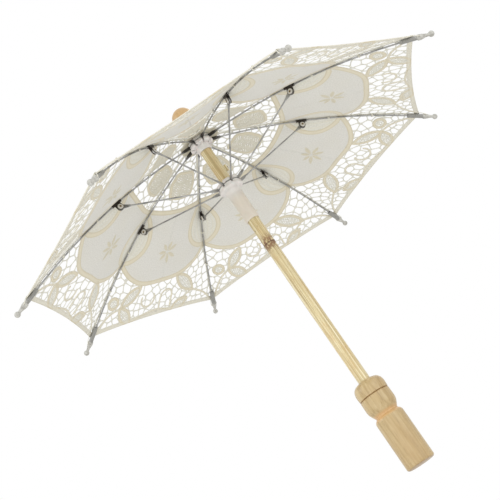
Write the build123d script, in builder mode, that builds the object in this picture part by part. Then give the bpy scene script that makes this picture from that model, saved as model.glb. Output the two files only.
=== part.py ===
"""Small lace parasol: eight ribs on a bamboo stick, with a turned handle, a sliding runner and a gored canopy.

The frame has its origin at the centre of the handle's bottom face, +Z up the stick, rib 1 towards +X.
Everything is drawn open. Each rib and its stretcher are equal links, so closing is one angle for all of them:
a rib turns down by it, its stretcher turns back by twice it, and the runner slides straight down the stick.
"""

import os
from math import asin, atan2, cos, degrees, radians, sin

from build123d import *

os.makedirs("parts", exist_ok=True)

# Driving dimensions, in millimetres and degrees
RIBS = 8
SPREAD = 190.0  # stick's axis to the centre of the ball on a rib's end
TIP_HEIGHT = 232.5  # bottom of the handle to those balls
HEAD_RISE = 65.5  # those balls to the ribs' pivots in the notch
PIVOT_RADIUS = 9.0  # both pivot rings
RIVET_RADIUS = 83.8  # stick's axis to the rivet under a rib
LINK_DROP = 22.0  # height a rib loses from its pivot to the rivet

HANDLE_LENGTH = 69.5
GRIP_RADIUS = 11.2
SHAFT_RADIUS = 4.7
SHAFT_NODE_RADIUS = 4.88
SHAFT_NODE_HEIGHT = 196.0
SHAFT_FOOT = 34.0
SHAFT_TOP = 324.5
FERRULE_RADIUS = 8.85
FERRULE_BASE = 303.4
FERRULE_TOP = 333.5

WIRE_RADIUS = 0.6  # ribs and stretchers
RING_RADIUS = 0.45  # pivot rings
BLADE = 1.0  # thickness of the flattened ends
EYE_RADIUS = 0.52
SLOT = 1.5  # width of the slots in notch and runner
RIVET_PIN = 0.7
GLUED = 0.02  # gap left at glued and crimped joints
RUNNING = 0.06  # radial play of the rivets

TIP_STRAIGHT = 23.0  # straight end of a rib, which the tip covers
TIP_SLOPE = 28.5  # its angle below level

CLOTH = 0.6
CLOTH_LIFT = 1.9  # a rib's centre line to the cloth over it
CLOTH_INNER = 7.2
CLOTH_OUTER = 179.5
APEX_RISE = 3.9  # ribs' pivots to the cloth's inner edge
SEAM_GAP = 0.15  # half the gap between two half gores
MID_BOW = 2.5  # how far the middle of a gore stands over its own chord
RIB_BOW = 7.0  # the same along a rib

# Heights and angles that follow
NOTCH_PIVOT = TIP_HEIGHT + HEAD_RISE
RIVET_HEIGHT = NOTCH_PIVOT - LINK_DROP
RUNNER_PIVOT = NOTCH_PIVOT - 2 * LINK_DROP
STEP = 360 / RIBS


def radial_plane(azimuth, sideways=0.0):
    """Upright plane through the stick: local X points away from it, local Y is up."""
    along = Vector(cos(radians(azimuth)), sin(radians(azimuth)), 0)
    normal = Vector(sin(radians(azimuth)), -cos(radians(azimuth)), 0)
    return Plane(origin=normal * sideways, x_dir=along, z_dir=normal)


def level(height):
    return Plane.XY.offset(height)


def write(piece, name):
    piece.label = name
    export_step(piece, f"parts/{name}.step")


def write_round(piece, name):
    """The same piece at each rib."""
    for number in range(RIBS):
        write(piece.rotate(Axis.Z, number * STEP), f"{name}_{number + 1}")


# ---------------------------------------------------------------- handle: turned wood, bored for the stick
NECK_RADIUS = 9.0
GRIP_TOP = 37.5
GRIP_EDGE = 1.8
NECK = (41.4, 42.4)
HEAD_RADIUS = 11.75
GROOVE_HEIGHT = 57.5
GROOVE_DEPTH = 0.75
BEAD = (12.0, 62.3)  # radius and height of its widest point
TOP_RADIUS = 6.2  # flat round the stick

with BuildPart() as handle:
    with BuildSketch(radial_plane(0)):
        with BuildLine():
            Line((0, 0), (GRIP_RADIUS - GRIP_EDGE, 0))
            RadiusArc((GRIP_RADIUS - GRIP_EDGE, 0), (GRIP_RADIUS, GRIP_EDGE), -GRIP_EDGE)
            Line((GRIP_RADIUS, GRIP_EDGE), (GRIP_RADIUS, GRIP_TOP))
            RadiusArc((GRIP_RADIUS, GRIP_TOP), (NECK_RADIUS, NECK[0]), -4.2)
            Line((NECK_RADIUS, NECK[0]), (NECK_RADIUS, NECK[1]))
            head_side = Spline((NECK_RADIUS, NECK[1]), (10.3, 44.8), (11.5, 47.6), (11.85, 51.5),
                               (HEAD_RADIUS, GROOVE_HEIGHT - 0.5))
            Line(head_side @ 1, (HEAD_RADIUS - GROOVE_DEPTH, GROOVE_HEIGHT))
            Line((HEAD_RADIUS - GROOVE_DEPTH, GROOVE_HEIGHT), (HEAD_RADIUS, GROOVE_HEIGHT + 0.5))
            bead_side = Spline((HEAD_RADIUS, GROOVE_HEIGHT + 0.5), BEAD, (11.2, 66.0), (8.6, 68.6))
            Line(bead_side @ 1, (TOP_RADIUS, HANDLE_LENGTH))
            Line((TOP_RADIUS, HANDLE_LENGTH), (0, HANDLE_LENGTH))
            Line((0, HANDLE_LENGTH), (0, 0))
        make_face()
    revolve(axis=Axis.Z)
    with Locations((0, 0, HANDLE_LENGTH)):
        Hole(SHAFT_RADIUS + GLUED, depth=HANDLE_LENGTH - SHAFT_FOOT + GLUED)
write(handle.part, "handle")

# ---------------------------------------------------------------- shaft: bamboo cane with one node
CATCH_AZIMUTH = 112.5
CATCH_FOOT = 199.8
CATCH_TOP = 218.6
CATCH_WIRE = 0.45
CATCH_PROUD = 7.0
CATCH_SLOT = 1.3
CATCH_SLOT_DEPTH = 1.9  # past the stick's axis
CATCH_END_GAP = 0.15
STOP_AZIMUTH = 22.5
STOP_HEIGHT = 268.1
STOP_SIZE = (2.2, 2.4, 5.2)  # proud of the cane, across it, along it
NAIL_RADIUS = 0.45
NAIL_DEPTH = 2.2

with BuildPart() as shaft:
    with BuildSketch(radial_plane(0)):
        with BuildLine():
            Line((0, SHAFT_FOOT), (SHAFT_RADIUS, SHAFT_FOOT))
            Line((SHAFT_RADIUS, SHAFT_FOOT), (SHAFT_RADIUS, SHAFT_NODE_HEIGHT - 2))
            ThreePointArc(
                (SHAFT_RADIUS, SHAFT_NODE_HEIGHT - 2),
                (SHAFT_NODE_RADIUS, SHAFT_NODE_HEIGHT),
                (SHAFT_RADIUS, SHAFT_NODE_HEIGHT + 2),
            )
            Line((SHAFT_RADIUS, SHAFT_NODE_HEIGHT + 2), (SHAFT_RADIUS, SHAFT_TOP))
            Line((SHAFT_RADIUS, SHAFT_TOP), (0, SHAFT_TOP))
            Line((0, SHAFT_TOP), (0, SHAFT_FOOT))
        make_face()
    revolve(axis=Axis.Z)
    # slot for the catch spring
    with BuildSketch(radial_plane(CATCH_AZIMUTH)):
        with Locations((-CATCH_SLOT_DEPTH, (CATCH_FOOT + CATCH_TOP) / 2)):
            Rectangle(
                3 * SHAFT_RADIUS,
                CATCH_TOP - CATCH_FOOT + 2 * CATCH_WIRE + 2 * CATCH_END_GAP,
                align=(Align.MIN, Align.CENTER),
            )
    extrude(amount=CATCH_SLOT / 2, both=True, mode=Mode.SUBTRACT)
    # hole for the nail
    with BuildSketch(Plane(origin=radial_plane(STOP_AZIMUTH).from_local_coords((0, STOP_HEIGHT, 0)),
                           z_dir=radial_plane(STOP_AZIMUTH).x_dir).offset(SHAFT_RADIUS - NAIL_DEPTH)):
        Circle(NAIL_RADIUS + GLUED)
    extrude(amount=2 * NAIL_DEPTH, mode=Mode.SUBTRACT)
write(shaft.part, "shaft")

# ---------------------------------------------------------------- stop block and its nail, above the runner
with BuildPart() as stop_block:
    with BuildSketch(level(STOP_HEIGHT - STOP_SIZE[2] / 2)):
        with Locations((SHAFT_RADIUS + STOP_SIZE[0] / 2 - 0.4, 0)):
            RectangleRounded(STOP_SIZE[0] + 0.8, STOP_SIZE[1], 0.5)
        Circle(SHAFT_RADIUS + GLUED, mode=Mode.SUBTRACT)
    extrude(amount=STOP_SIZE[2])
    with BuildSketch(Plane.YZ.offset(SHAFT_RADIUS - 1)):
        with Locations((0, STOP_HEIGHT)):
            Circle(NAIL_RADIUS + GLUED)
    extrude(amount=5, mode=Mode.SUBTRACT)
write(stop_block.part.rotate(Axis.Z, STOP_AZIMUTH), "stop_block")

NAIL_HEAD = (0.8, 0.35)  # radius, thickness
nail_outer = SHAFT_RADIUS + STOP_SIZE[0]

with BuildPart() as stop_nail:
    with BuildSketch(Plane.YZ.offset(SHAFT_RADIUS - NAIL_DEPTH + GLUED)):
        with Locations((0, STOP_HEIGHT)):
            Circle(NAIL_RADIUS)
    extrude(amount=NAIL_DEPTH + STOP_SIZE[0])
    with BuildSketch(Plane.YZ.offset(nail_outer + GLUED)):
        with Locations((0, STOP_HEIGHT)):
            Circle(NAIL_HEAD[0])
    extrude(amount=NAIL_HEAD[1])
write(stop_nail.part.rotate(Axis.Z, STOP_AZIMUTH), "stop_nail")

# ---------------------------------------------------------------- catch: sprung wire that holds the runner up
with BuildPart() as catch_spring:
    with BuildLine(radial_plane(CATCH_AZIMUTH)) as catch_line:
        FilletPolyline(
            (0.4, CATCH_FOOT),
            (3.4, CATCH_FOOT),
            (CATCH_PROUD, CATCH_TOP - 1.6),
            (CATCH_PROUD - 0.6, CATCH_TOP),
            (2.4, CATCH_TOP),
            radius=0.6,
        )
    with BuildSketch(Plane(origin=catch_line.line @ 0, z_dir=catch_line.line % 0)):
        Circle(CATCH_WIRE)
    sweep(path=catch_line.line)
write(catch_spring.part, "catch_spring")

# ---------------------------------------------------------------- ferrule: turned wood on the stick's top end
FERRULE_SHOULDER = FERRULE_TOP - FERRULE_RADIUS
FERRULE_FOOT = 7.8

with BuildPart() as ferrule:
    with BuildSketch(radial_plane(0)):
        with BuildLine():
            Line((0, FERRULE_BASE), (FERRULE_FOOT, FERRULE_BASE))
            ThreePointArc(
                (FERRULE_FOOT, FERRULE_BASE), (8.6, FERRULE_BASE + 8), (FERRULE_RADIUS, FERRULE_SHOULDER)
            )
            CenterArc((0, FERRULE_SHOULDER), FERRULE_RADIUS, start_angle=0, arc_size=90)
            Line((0, FERRULE_TOP), (0, FERRULE_BASE))
        make_face()
    revolve(axis=Axis.Z)
    with BuildSketch(level(FERRULE_BASE)):
        Circle(SHAFT_RADIUS + GLUED)
    extrude(amount=SHAFT_TOP - FERRULE_BASE + GLUED, mode=Mode.SUBTRACT)
write(ferrule.part, "ferrule")

# ---------------------------------------------------------------- rosette: cloth washer under the ferrule
COLLAR_RADIUS = 6.6
ROSETTE_RADIUS = 12.5
with BuildPart() as rosette:
    with BuildSketch(level(FERRULE_BASE - CLOTH - GLUED)):
        Circle(ROSETTE_RADIUS)
        Circle(COLLAR_RADIUS + GLUED, mode=Mode.SUBTRACT)
    extrude(amount=CLOTH)
write(rosette.part, "rosette")

# ---------------------------------------------------------------- notch and runner crowns
CROWN_RADIUS = 10.0
SLOT_FLOOR = 6.5  # radius the slots are cut down to
GROOVE = 0.55  # half height of the rings' groove
GROOVE_FLOOR = PIVOT_RADIUS - GROOVE
SLOT_PAST = 2.0  # how far the slots go on past a pivot, away from the open side
SLOT_OPEN = 9.0  # the notch's slots, down from its pivot


def crown_slots(height):
    """One radial slot for each rib."""
    with BuildSketch(level(height)) as slots:
        with PolarLocations(SLOT_FLOOR, RIBS):
            Rectangle(CROWN_RADIUS, SLOT, align=(Align.MIN, Align.CENTER))
    return slots.sketch


def ring_groove(pivot):
    """Channel round a crown that its pivot ring lies in."""
    with BuildSketch(level(pivot - GROOVE)) as groove:
        Circle(CROWN_RADIUS + 1)
        Circle(GROOVE_FLOOR, mode=Mode.SUBTRACT)
    return groove.sketch


with BuildPart() as notch:
    with BuildSketch(radial_plane(0)):
        with BuildLine():
            Polyline(
                (SHAFT_RADIUS + GLUED, NOTCH_PIVOT - 8.5),
                (6.0, NOTCH_PIVOT - 8.5),
                (6.3, NOTCH_PIVOT - 3.6),
                (9.4, NOTCH_PIVOT - 3.2),
                (CROWN_RADIUS, NOTCH_PIVOT - 2.6),
                (CROWN_RADIUS, NOTCH_PIVOT + 2.2),
                (9.3, NOTCH_PIVOT + 2.9),
                (COLLAR_RADIUS, NOTCH_PIVOT + 3.1),
                (COLLAR_RADIUS, FERRULE_BASE - GLUED),
                (SHAFT_RADIUS + GLUED, FERRULE_BASE - GLUED),
                close=True,
            )
        make_face()
    revolve(axis=Axis.Z)
    extrude(crown_slots(NOTCH_PIVOT - SLOT_OPEN), amount=SLOT_OPEN + SLOT_PAST, mode=Mode.SUBTRACT)
    extrude(ring_groove(NOTCH_PIVOT), amount=2 * GROOVE, mode=Mode.SUBTRACT)
write(notch.part, "notch")

RUNNER_FOOT = 219.5
RUNNER_BORE = 5.0
RUNNER_SLEEVE = 5.8
CROWN_RISE = 3.2
CROWN_TOP = RUNNER_PIVOT + CROWN_RISE

with BuildPart() as runner:
    with BuildSketch(radial_plane(0)):
        with BuildLine():
            Polyline(
                (RUNNER_BORE, RUNNER_FOOT),
                (RUNNER_SLEEVE - 0.3, RUNNER_FOOT),
                (RUNNER_SLEEVE, RUNNER_FOOT + 0.5),
                (RUNNER_SLEEVE + 0.2, RUNNER_PIVOT - 9.0),
                (7.2, RUNNER_PIVOT - 5.2),
                (9.2, RUNNER_PIVOT - 4.2),
                (CROWN_RADIUS, RUNNER_PIVOT - 3.4),
                (CROWN_RADIUS, CROWN_TOP - 0.6),
                (CROWN_RADIUS - 0.6, CROWN_TOP),
                (RUNNER_BORE, CROWN_TOP),
                close=True,
            )
        make_face()
    revolve(axis=Axis.Z)
    extrude(crown_slots(RUNNER_PIVOT - SLOT_PAST), amount=SLOT_PAST + CROWN_RISE + 1, mode=Mode.SUBTRACT)
    extrude(ring_groove(RUNNER_PIVOT), amount=2 * GROOVE, mode=Mode.SUBTRACT)
write(runner.part, "runner")

for ring_name, ring_height in (("notch_wire", NOTCH_PIVOT), ("runner_wire", RUNNER_PIVOT)):
    with BuildPart() as ring:
        with BuildSketch(radial_plane(0)):
            with Locations((PIVOT_RADIUS, ring_height)):
                Circle(RING_RADIUS)
        revolve(axis=Axis.Z)
    write(ring.part, ring_name)

# ---------------------------------------------------------------- rib: bowed wire with a flattened, eyed inner end
head = Vector(PIVOT_RADIUS, NOTCH_PIVOT)
ball = Vector(SPREAD, TIP_HEIGHT)
tip_inward = Vector(-cos(radians(TIP_SLOPE)), sin(radians(TIP_SLOPE)))
tip_foot = ball + tip_inward * TIP_STRAIGHT
chord = tip_foot - head
chord_slope = degrees(atan2(-chord.Y, chord.X))
half_turn = TIP_SLOPE - chord_slope
rib_bend = chord.length / 2 / sin(radians(half_turn))
head_slope = chord_slope - half_turn
bend_centre = head - Vector(sin(radians(head_slope)), cos(radians(head_slope))) * rib_bend


def on_rib(radius):
    """A point of the rib's bowed centre line, at that distance from the stick."""
    across = radius - bend_centre.X
    return Vector(radius, bend_centre.Y + (rib_bend**2 - across**2) ** 0.5)


def slope_at(radius):
    return degrees(asin((radius - bend_centre.X) / rib_bend))


BLADE_LENGTH = 9.0
BLADE_HALF = 1.3
WIRE_START = 14.0  # where the wire leaves the blade
WIRE_IN_TIP = 10.6  # from the ball to the wire's end

blade_end = on_rib(PIVOT_RADIUS + BLADE_LENGTH)
wire_start = on_rib(WIRE_START)
edgeways = Vector(sin(radians(head_slope)), cos(radians(head_slope)))

with BuildPart() as rib:
    with BuildLine(radial_plane(0)) as rib_line:
        ThreePointArc(tuple(wire_start), tuple(on_rib(RIVET_RADIUS)), tuple(tip_foot))
        Line(tuple(tip_foot), tuple(ball + tip_inward * WIRE_IN_TIP))
    with BuildSketch(Plane(origin=rib_line.line @ 0, z_dir=rib_line.line % 0)):
        Circle(WIRE_RADIUS)
    sweep(path=rib_line.line)
    with BuildSketch(radial_plane(0)):
        with Locations(head):
            Circle(BLADE_HALF)
        with BuildLine():
            Polyline(
                head + edgeways * BLADE_HALF,
                wire_start + edgeways * BLADE_HALF,
                blade_end + edgeways * WIRE_RADIUS,
                blade_end - edgeways * WIRE_RADIUS,
                wire_start - edgeways * BLADE_HALF,
                head - edgeways * BLADE_HALF,
                close=True,
            )
        make_face()
        with Locations(head):
            Circle(EYE_RADIUS, mode=Mode.SUBTRACT)
    extrude(amount=BLADE / 2, both=True)
write_round(rib.part, "rib")

# ---------------------------------------------------------------- stretcher: straight wire with an eye at each end
runner_eye = Vector(PIVOT_RADIUS, RUNNER_PIVOT)
rivet = Vector(RIVET_RADIUS, RIVET_HEIGHT)
outward = (rivet - runner_eye).normalized()
upward = Vector(-outward.Y, outward.X)
PADDLE = 8.0  # length of the flattened stretch from an eye
PADDLE_WAIST = 0.6 * PADDLE
RIVET_EYE = 2.1
WIRE_FROM_EYE = 4.0

with BuildPart() as stretcher:
    with BuildLine(radial_plane(0)) as stretcher_line:
        Line(tuple(runner_eye + outward * WIRE_FROM_EYE), tuple(rivet - outward * WIRE_FROM_EYE))
    with BuildSketch(Plane(origin=stretcher_line.line @ 0, z_dir=stretcher_line.line % 0)):
        Circle(WIRE_RADIUS)
    sweep(path=stretcher_line.line)
    with BuildSketch(radial_plane(0)):
        for eye, along, half in ((runner_eye, outward, BLADE_HALF), (rivet, -outward, RIVET_EYE)):
            with BuildLine():
                Polyline(
                    eye + upward * half * 0.95,
                    eye + along * PADDLE_WAIST + upward * BLADE_HALF * 0.9,
                    eye + along * PADDLE + upward * WIRE_RADIUS,
                    eye + along * PADDLE - upward * WIRE_RADIUS,
                    eye + along * PADDLE_WAIST - upward * BLADE_HALF * 0.9,
                    eye - upward * half * 0.95,
                    close=True,
                )
            make_face()
            with Locations(eye):
                Circle(half)
        with Locations(runner_eye):
            Circle(EYE_RADIUS, mode=Mode.SUBTRACT)
        with Locations(rivet):
            Circle(RIVET_PIN + RUNNING, mode=Mode.SUBTRACT)
    extrude(amount=BLADE / 2, both=True)
write_round(stretcher.part, "stretcher")

# ---------------------------------------------------------------- rib joint: crimped clip with two ears, and its rivet
CLIP_LENGTH = 9.0
CLIP_RADIUS = 1.05
CLIP_EAR = 2.3  # half the ears' width where they leave the clip
EAR_RADIUS = 2.5
EAR_INNER = BLADE / 2 + 0.12
EAR = 0.5
RIVET_HEAD = (1.45, 0.5)  # radius, thickness
CRIMPED = WIRE_RADIUS + 4 * GLUED  # bore of the clip

foot_radius = RIVET_RADIUS + sin(radians(slope_at(RIVET_RADIUS))) * (on_rib(RIVET_RADIUS).Y - RIVET_HEIGHT)
clip_centre = on_rib(foot_radius)
clip_slope = slope_at(foot_radius)
clip_along = Vector(cos(radians(clip_slope)), -sin(radians(clip_slope)))
clip_start = clip_centre - clip_along * CLIP_LENGTH / 2

with BuildPart() as rib_joint:
    clip_plane = Plane(
        origin=(clip_start.X, 0, clip_start.Y), z_dir=(clip_along.X, 0, clip_along.Y), x_dir=(0, 1, 0)
    )
    with BuildSketch(clip_plane):
        Circle(CLIP_RADIUS)
        Circle(CRIMPED, mode=Mode.SUBTRACT)
    extrude(amount=CLIP_LENGTH)
    for side in (1, -1):
        with BuildSketch(radial_plane(0, sideways=side * EAR_INNER)):
            with BuildLine():
                Polyline(
                    rivet - clip_along * EAR_RADIUS * 0.98,
                    clip_centre - clip_along * CLIP_EAR,
                    clip_centre + clip_along * CLIP_EAR,
                    rivet + clip_along * EAR_RADIUS * 0.98,
                    close=True,
                )
            make_face()
            with Locations(rivet):
                Circle(EAR_RADIUS)
                Circle(RIVET_PIN + GLUED, mode=Mode.SUBTRACT)
        extrude(amount=side * EAR)
    with BuildSketch(clip_plane):
        Circle(CRIMPED)
    extrude(amount=CLIP_LENGTH, mode=Mode.SUBTRACT)

with BuildPart() as rib_rivet:
    with BuildSketch(radial_plane(0)):
        with Locations(rivet):
            Circle(RIVET_PIN)
    extrude(amount=EAR_INNER + EAR + 2 * GLUED, both=True)
    for side in (1, -1):
        with BuildSketch(radial_plane(0, sideways=side * (EAR_INNER + EAR + GLUED))):
            with Locations(rivet):
                Circle(RIVET_HEAD[0])
        extrude(amount=side * RIVET_HEAD[1], taper=25)
write_round(Compound(children=[rib_joint.part, rib_rivet.part]), "rib_joint")

# ---------------------------------------------------------------- tip: moulded ball and sleeve on the rib's end
BALL_RADIUS = 2.25
TIP_NECK = (1.2, 2.6)  # radius, and distance from the ball's centre
TIP_BODY = (2.2, 8.6)
TIP_SHOULDER = (2.1, 10.2)
TIP_SLEEVE = (1.5, 11.0)
SLEEVE_END = 1.35
THREAD_HOLE = (0.6, 8.4)  # radius, and distance from the ball's centre
tip_plane = Plane(
    origin=(ball.X, 0, ball.Y), z_dir=(tip_inward.X, 0, tip_inward.Y), x_dir=(-tip_inward.Y, 0, tip_inward.X)
)
ball_seam = (1.3, (BALL_RADIUS**2 - 1.3**2) ** 0.5)

with BuildPart() as tip:
    with BuildSketch(Plane(origin=tip_plane.origin, x_dir=tip_plane.x_dir, z_dir=-tip_plane.y_dir)):
        with BuildLine():
            ThreePointArc((0, -BALL_RADIUS), (BALL_RADIUS, 0), ball_seam)
            Spline(ball_seam, TIP_NECK, TIP_BODY, TIP_SHOULDER)
            Line(TIP_SHOULDER, TIP_SLEEVE)
            Line(TIP_SLEEVE, (SLEEVE_END, TIP_STRAIGHT - 0.5))
            Line((SLEEVE_END, TIP_STRAIGHT - 0.5), (0, TIP_STRAIGHT - 0.5))
            Line((0, TIP_STRAIGHT - 0.5), (0, -BALL_RADIUS))
        make_face()
    revolve(axis=Axis(tip_plane.origin, tip_plane.z_dir))
    with BuildSketch(tip_plane.offset(WIRE_IN_TIP - GLUED)):
        Circle(WIRE_RADIUS + GLUED)
    extrude(amount=TIP_STRAIGHT, mode=Mode.SUBTRACT)
    with BuildSketch(Plane(origin=tip_plane.offset(THREAD_HOLE[1]).origin, z_dir=(0, 1, 0))):
        Circle(THREAD_HOLE[0])
    extrude(amount=5, both=True, mode=Mode.SUBTRACT)
write_round(tip.part, "tip")

# ---------------------------------------------------------------- canopy: eight gores, each cut at its fold into halves
def cloth_strip(azimuth, sideways, shrink, bow, low_inner, low_outer):
    """The cloth's section in an upright plane: a bowed strip from its inner to its outer edge."""
    start = Vector(CLOTH_INNER * shrink, low_inner)
    end = Vector(CLOTH_OUTER * shrink, low_outer)
    away = Vector(start.Y - end.Y, end.X - start.X).normalized()
    middle = (start + end) / 2 + away * bow
    lift = away * CLOTH
    with BuildSketch(radial_plane(azimuth, sideways)) as strip:
        with BuildLine():
            ThreePointArc(start, middle, end)
            Line(end, end + lift)
            ThreePointArc(end + lift, middle + lift, start + lift)
            Line(start + lift, start)
        make_face()
    return strip.sketch


outer_foot = ball + tip_inward * ((SPREAD - CLOTH_OUTER) / cos(radians(TIP_SLOPE)))
inner_height = NOTCH_PIVOT + APEX_RISE
outer_height = outer_foot.Y + CLOTH_LIFT / cos(radians(TIP_SLOPE))
fold_shrink = cos(radians(STEP / 2))

with BuildPart() as half_gore:
    seam_strip = cloth_strip(0, -SEAM_GAP, 1, RIB_BOW, inner_height, outer_height)
    fold_strip = cloth_strip(STEP / 2, SEAM_GAP, fold_shrink, MID_BOW, inner_height, outer_height)
    loft(sections=[seam_strip.face(), fold_strip.face()], ruled=True)
half_b = half_gore.part.mirror(Plane.XZ)
for number in range(RIBS):
    write(half_gore.part.rotate(Axis.Z, number * STEP), f"gore_{number + 1}_half_a")
    write(half_b.rotate(Axis.Z, (number + 1) * STEP), f"gore_{number + 1}_half_b")
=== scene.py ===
"""Looks of the small lace parasol: lace canopy, wood, cane, plastic and wire around the CAD frame."""

import math

import bpy
import numpy as np
from mathutils import Matrix, Vector


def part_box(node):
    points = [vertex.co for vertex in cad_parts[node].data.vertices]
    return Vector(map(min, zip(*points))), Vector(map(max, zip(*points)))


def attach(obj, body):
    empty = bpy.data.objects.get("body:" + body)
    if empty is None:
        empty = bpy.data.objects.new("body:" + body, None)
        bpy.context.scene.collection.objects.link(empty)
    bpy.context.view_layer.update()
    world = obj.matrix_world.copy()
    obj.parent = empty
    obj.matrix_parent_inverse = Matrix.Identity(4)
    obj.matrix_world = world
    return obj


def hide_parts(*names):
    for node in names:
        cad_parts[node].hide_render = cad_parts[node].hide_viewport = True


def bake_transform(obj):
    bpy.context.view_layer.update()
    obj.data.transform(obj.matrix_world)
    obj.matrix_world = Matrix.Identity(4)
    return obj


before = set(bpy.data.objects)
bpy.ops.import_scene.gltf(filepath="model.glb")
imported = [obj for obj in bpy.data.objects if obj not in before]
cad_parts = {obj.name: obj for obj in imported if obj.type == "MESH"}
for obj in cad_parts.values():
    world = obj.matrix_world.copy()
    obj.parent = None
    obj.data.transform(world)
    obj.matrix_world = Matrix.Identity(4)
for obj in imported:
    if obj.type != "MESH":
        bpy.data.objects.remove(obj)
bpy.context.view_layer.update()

MM = 0.001
RIBS = 8
STEP = 360 / RIBS                      # degrees from one rib to the next
HALF = math.radians(STEP / 2)          # half a gore, in radians

# The canopy's surface over the plan, in millimetres, as the CAD half gores have it.
CLOTH_INNER = 7.2                      # radius of the hole for the stick
CLOTH_OUTER = 179.5                    # radius of the hem's corners
CLOTH_TOP = 302.2                      # height of the inner edge, at mid thickness
CLOTH_LOW = 240.66                     # height of the hem's corners
RIB_BOW = 7.0                          # rise of the rib's arc over its chord
MIDDLE_BOW = 2.5                       # the same, along a gore's middle line
RIVET_AT = (83.8, 276.0)               # radius and height of the rivets
HEM_DIP = 3.2                          # how far the hem curves in from the straight chord

# ---------------------------------------------------------------------------------------------
# Camera, light and floor
# ---------------------------------------------------------------------------------------------


# The camera's place, in metres, and its aim, found from the tips, the rivets and the stick.
CAMERA_AT = (0.26667, -0.69055, -0.06155)
CAMERA_AHEAD = (-0.35723, 0.87217, 0.334223)
CAMERA_UP = (0.625909, -0.042064, 0.778761)
LENS_MM = 74.598
SENSOR_MM = 36.0

MIDDLE = (0, 0, 0.22)                  # what the soft boxes are turned to, in metres
FLOOR_HEIGHT = -0.16                   # metres
FLOOR_SIZE = 60                        # metres


def make_camera():
    """The camera, low in front of the open side, looking up under the canopy."""
    data = bpy.data.cameras.new("camera")
    data.lens = LENS_MM
    data.sensor_width = SENSOR_MM
    data.clip_start, data.clip_end = 0.01, 100
    camera = bpy.data.objects.new("camera", data)
    bpy.context.scene.collection.objects.link(camera)
    ahead = Vector(CAMERA_AHEAD).normalized()
    right = ahead.cross(Vector(CAMERA_UP)).normalized()
    up = right.cross(ahead)
    turn = Matrix((right, up, -ahead)).transposed().to_4x4()
    camera.matrix_world = Matrix.Translation(CAMERA_AT) @ turn
    bpy.context.scene.camera = camera


def make_light(name, place, aim, size, power):
    """One square soft box at place, turned to aim."""
    data = bpy.data.lights.new(name, "AREA")
    data.size, data.energy = size, power
    light = bpy.data.objects.new(name, data)
    bpy.context.scene.collection.objects.link(light)
    light.visible_camera = False
    light.location = place
    light.rotation_euler = (Vector(aim) - Vector(place)).to_track_quat("-Z", "Y").to_euler()


def make_studio():
    """A white surround, four soft boxes and a pale floor."""
    world = bpy.data.worlds.new("studio")
    world.use_nodes = True
    back = world.node_tree.nodes["Background"]
    back.inputs["Color"].default_value = (1, 1, 1, 1)
    back.inputs["Strength"].default_value = 1.0
    bpy.context.scene.world = world
    bpy.context.scene.view_settings.view_transform = "Standard"
    make_light("key", (-0.9, -0.9, 0.9), MIDDLE, size=0.7, power=4.5)
    make_light("fill", (1.1, -0.5, 0.45), MIDDLE, size=0.9, power=4)
    make_light("bounce", (-0.05, -0.6, -0.12), MIDDLE, size=0.6, power=1.3)
    make_light("rim", (0.3, 1.0, 0.9), MIDDLE, size=0.7, power=1.5)
    bpy.ops.mesh.primitive_plane_add(size=FLOOR_SIZE, location=(0, 0, FLOOR_HEIGHT))
    floor = bpy.context.object
    floor.name = "floor"
    mat, shader, _ = new_material("floor_paint")
    shader.inputs["Base Color"].default_value = (0.80, 0.79, 0.78, 1)
    shader.inputs["Roughness"].default_value = 0.9
    floor.data.materials.append(mat)


# ---------------------------------------------------------------------------------------------
# Materials
# ---------------------------------------------------------------------------------------------


def srgb(r, g, b):
    """A colour given as 0 to 255 display values, in the linear values that shaders take."""
    def one(v):
        v /= 255
        return v / 12.92 if v <= 0.04045 else ((v + 0.055) / 1.055) ** 2.4
    return (one(r), one(g), one(b), 1.0)


def new_material(name):
    """(material, its Principled shader, its node tree)."""
    mat = bpy.data.materials.new(name)
    mat.use_nodes = True
    tree = mat.node_tree
    return mat, tree.nodes["Principled BSDF"], tree


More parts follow.
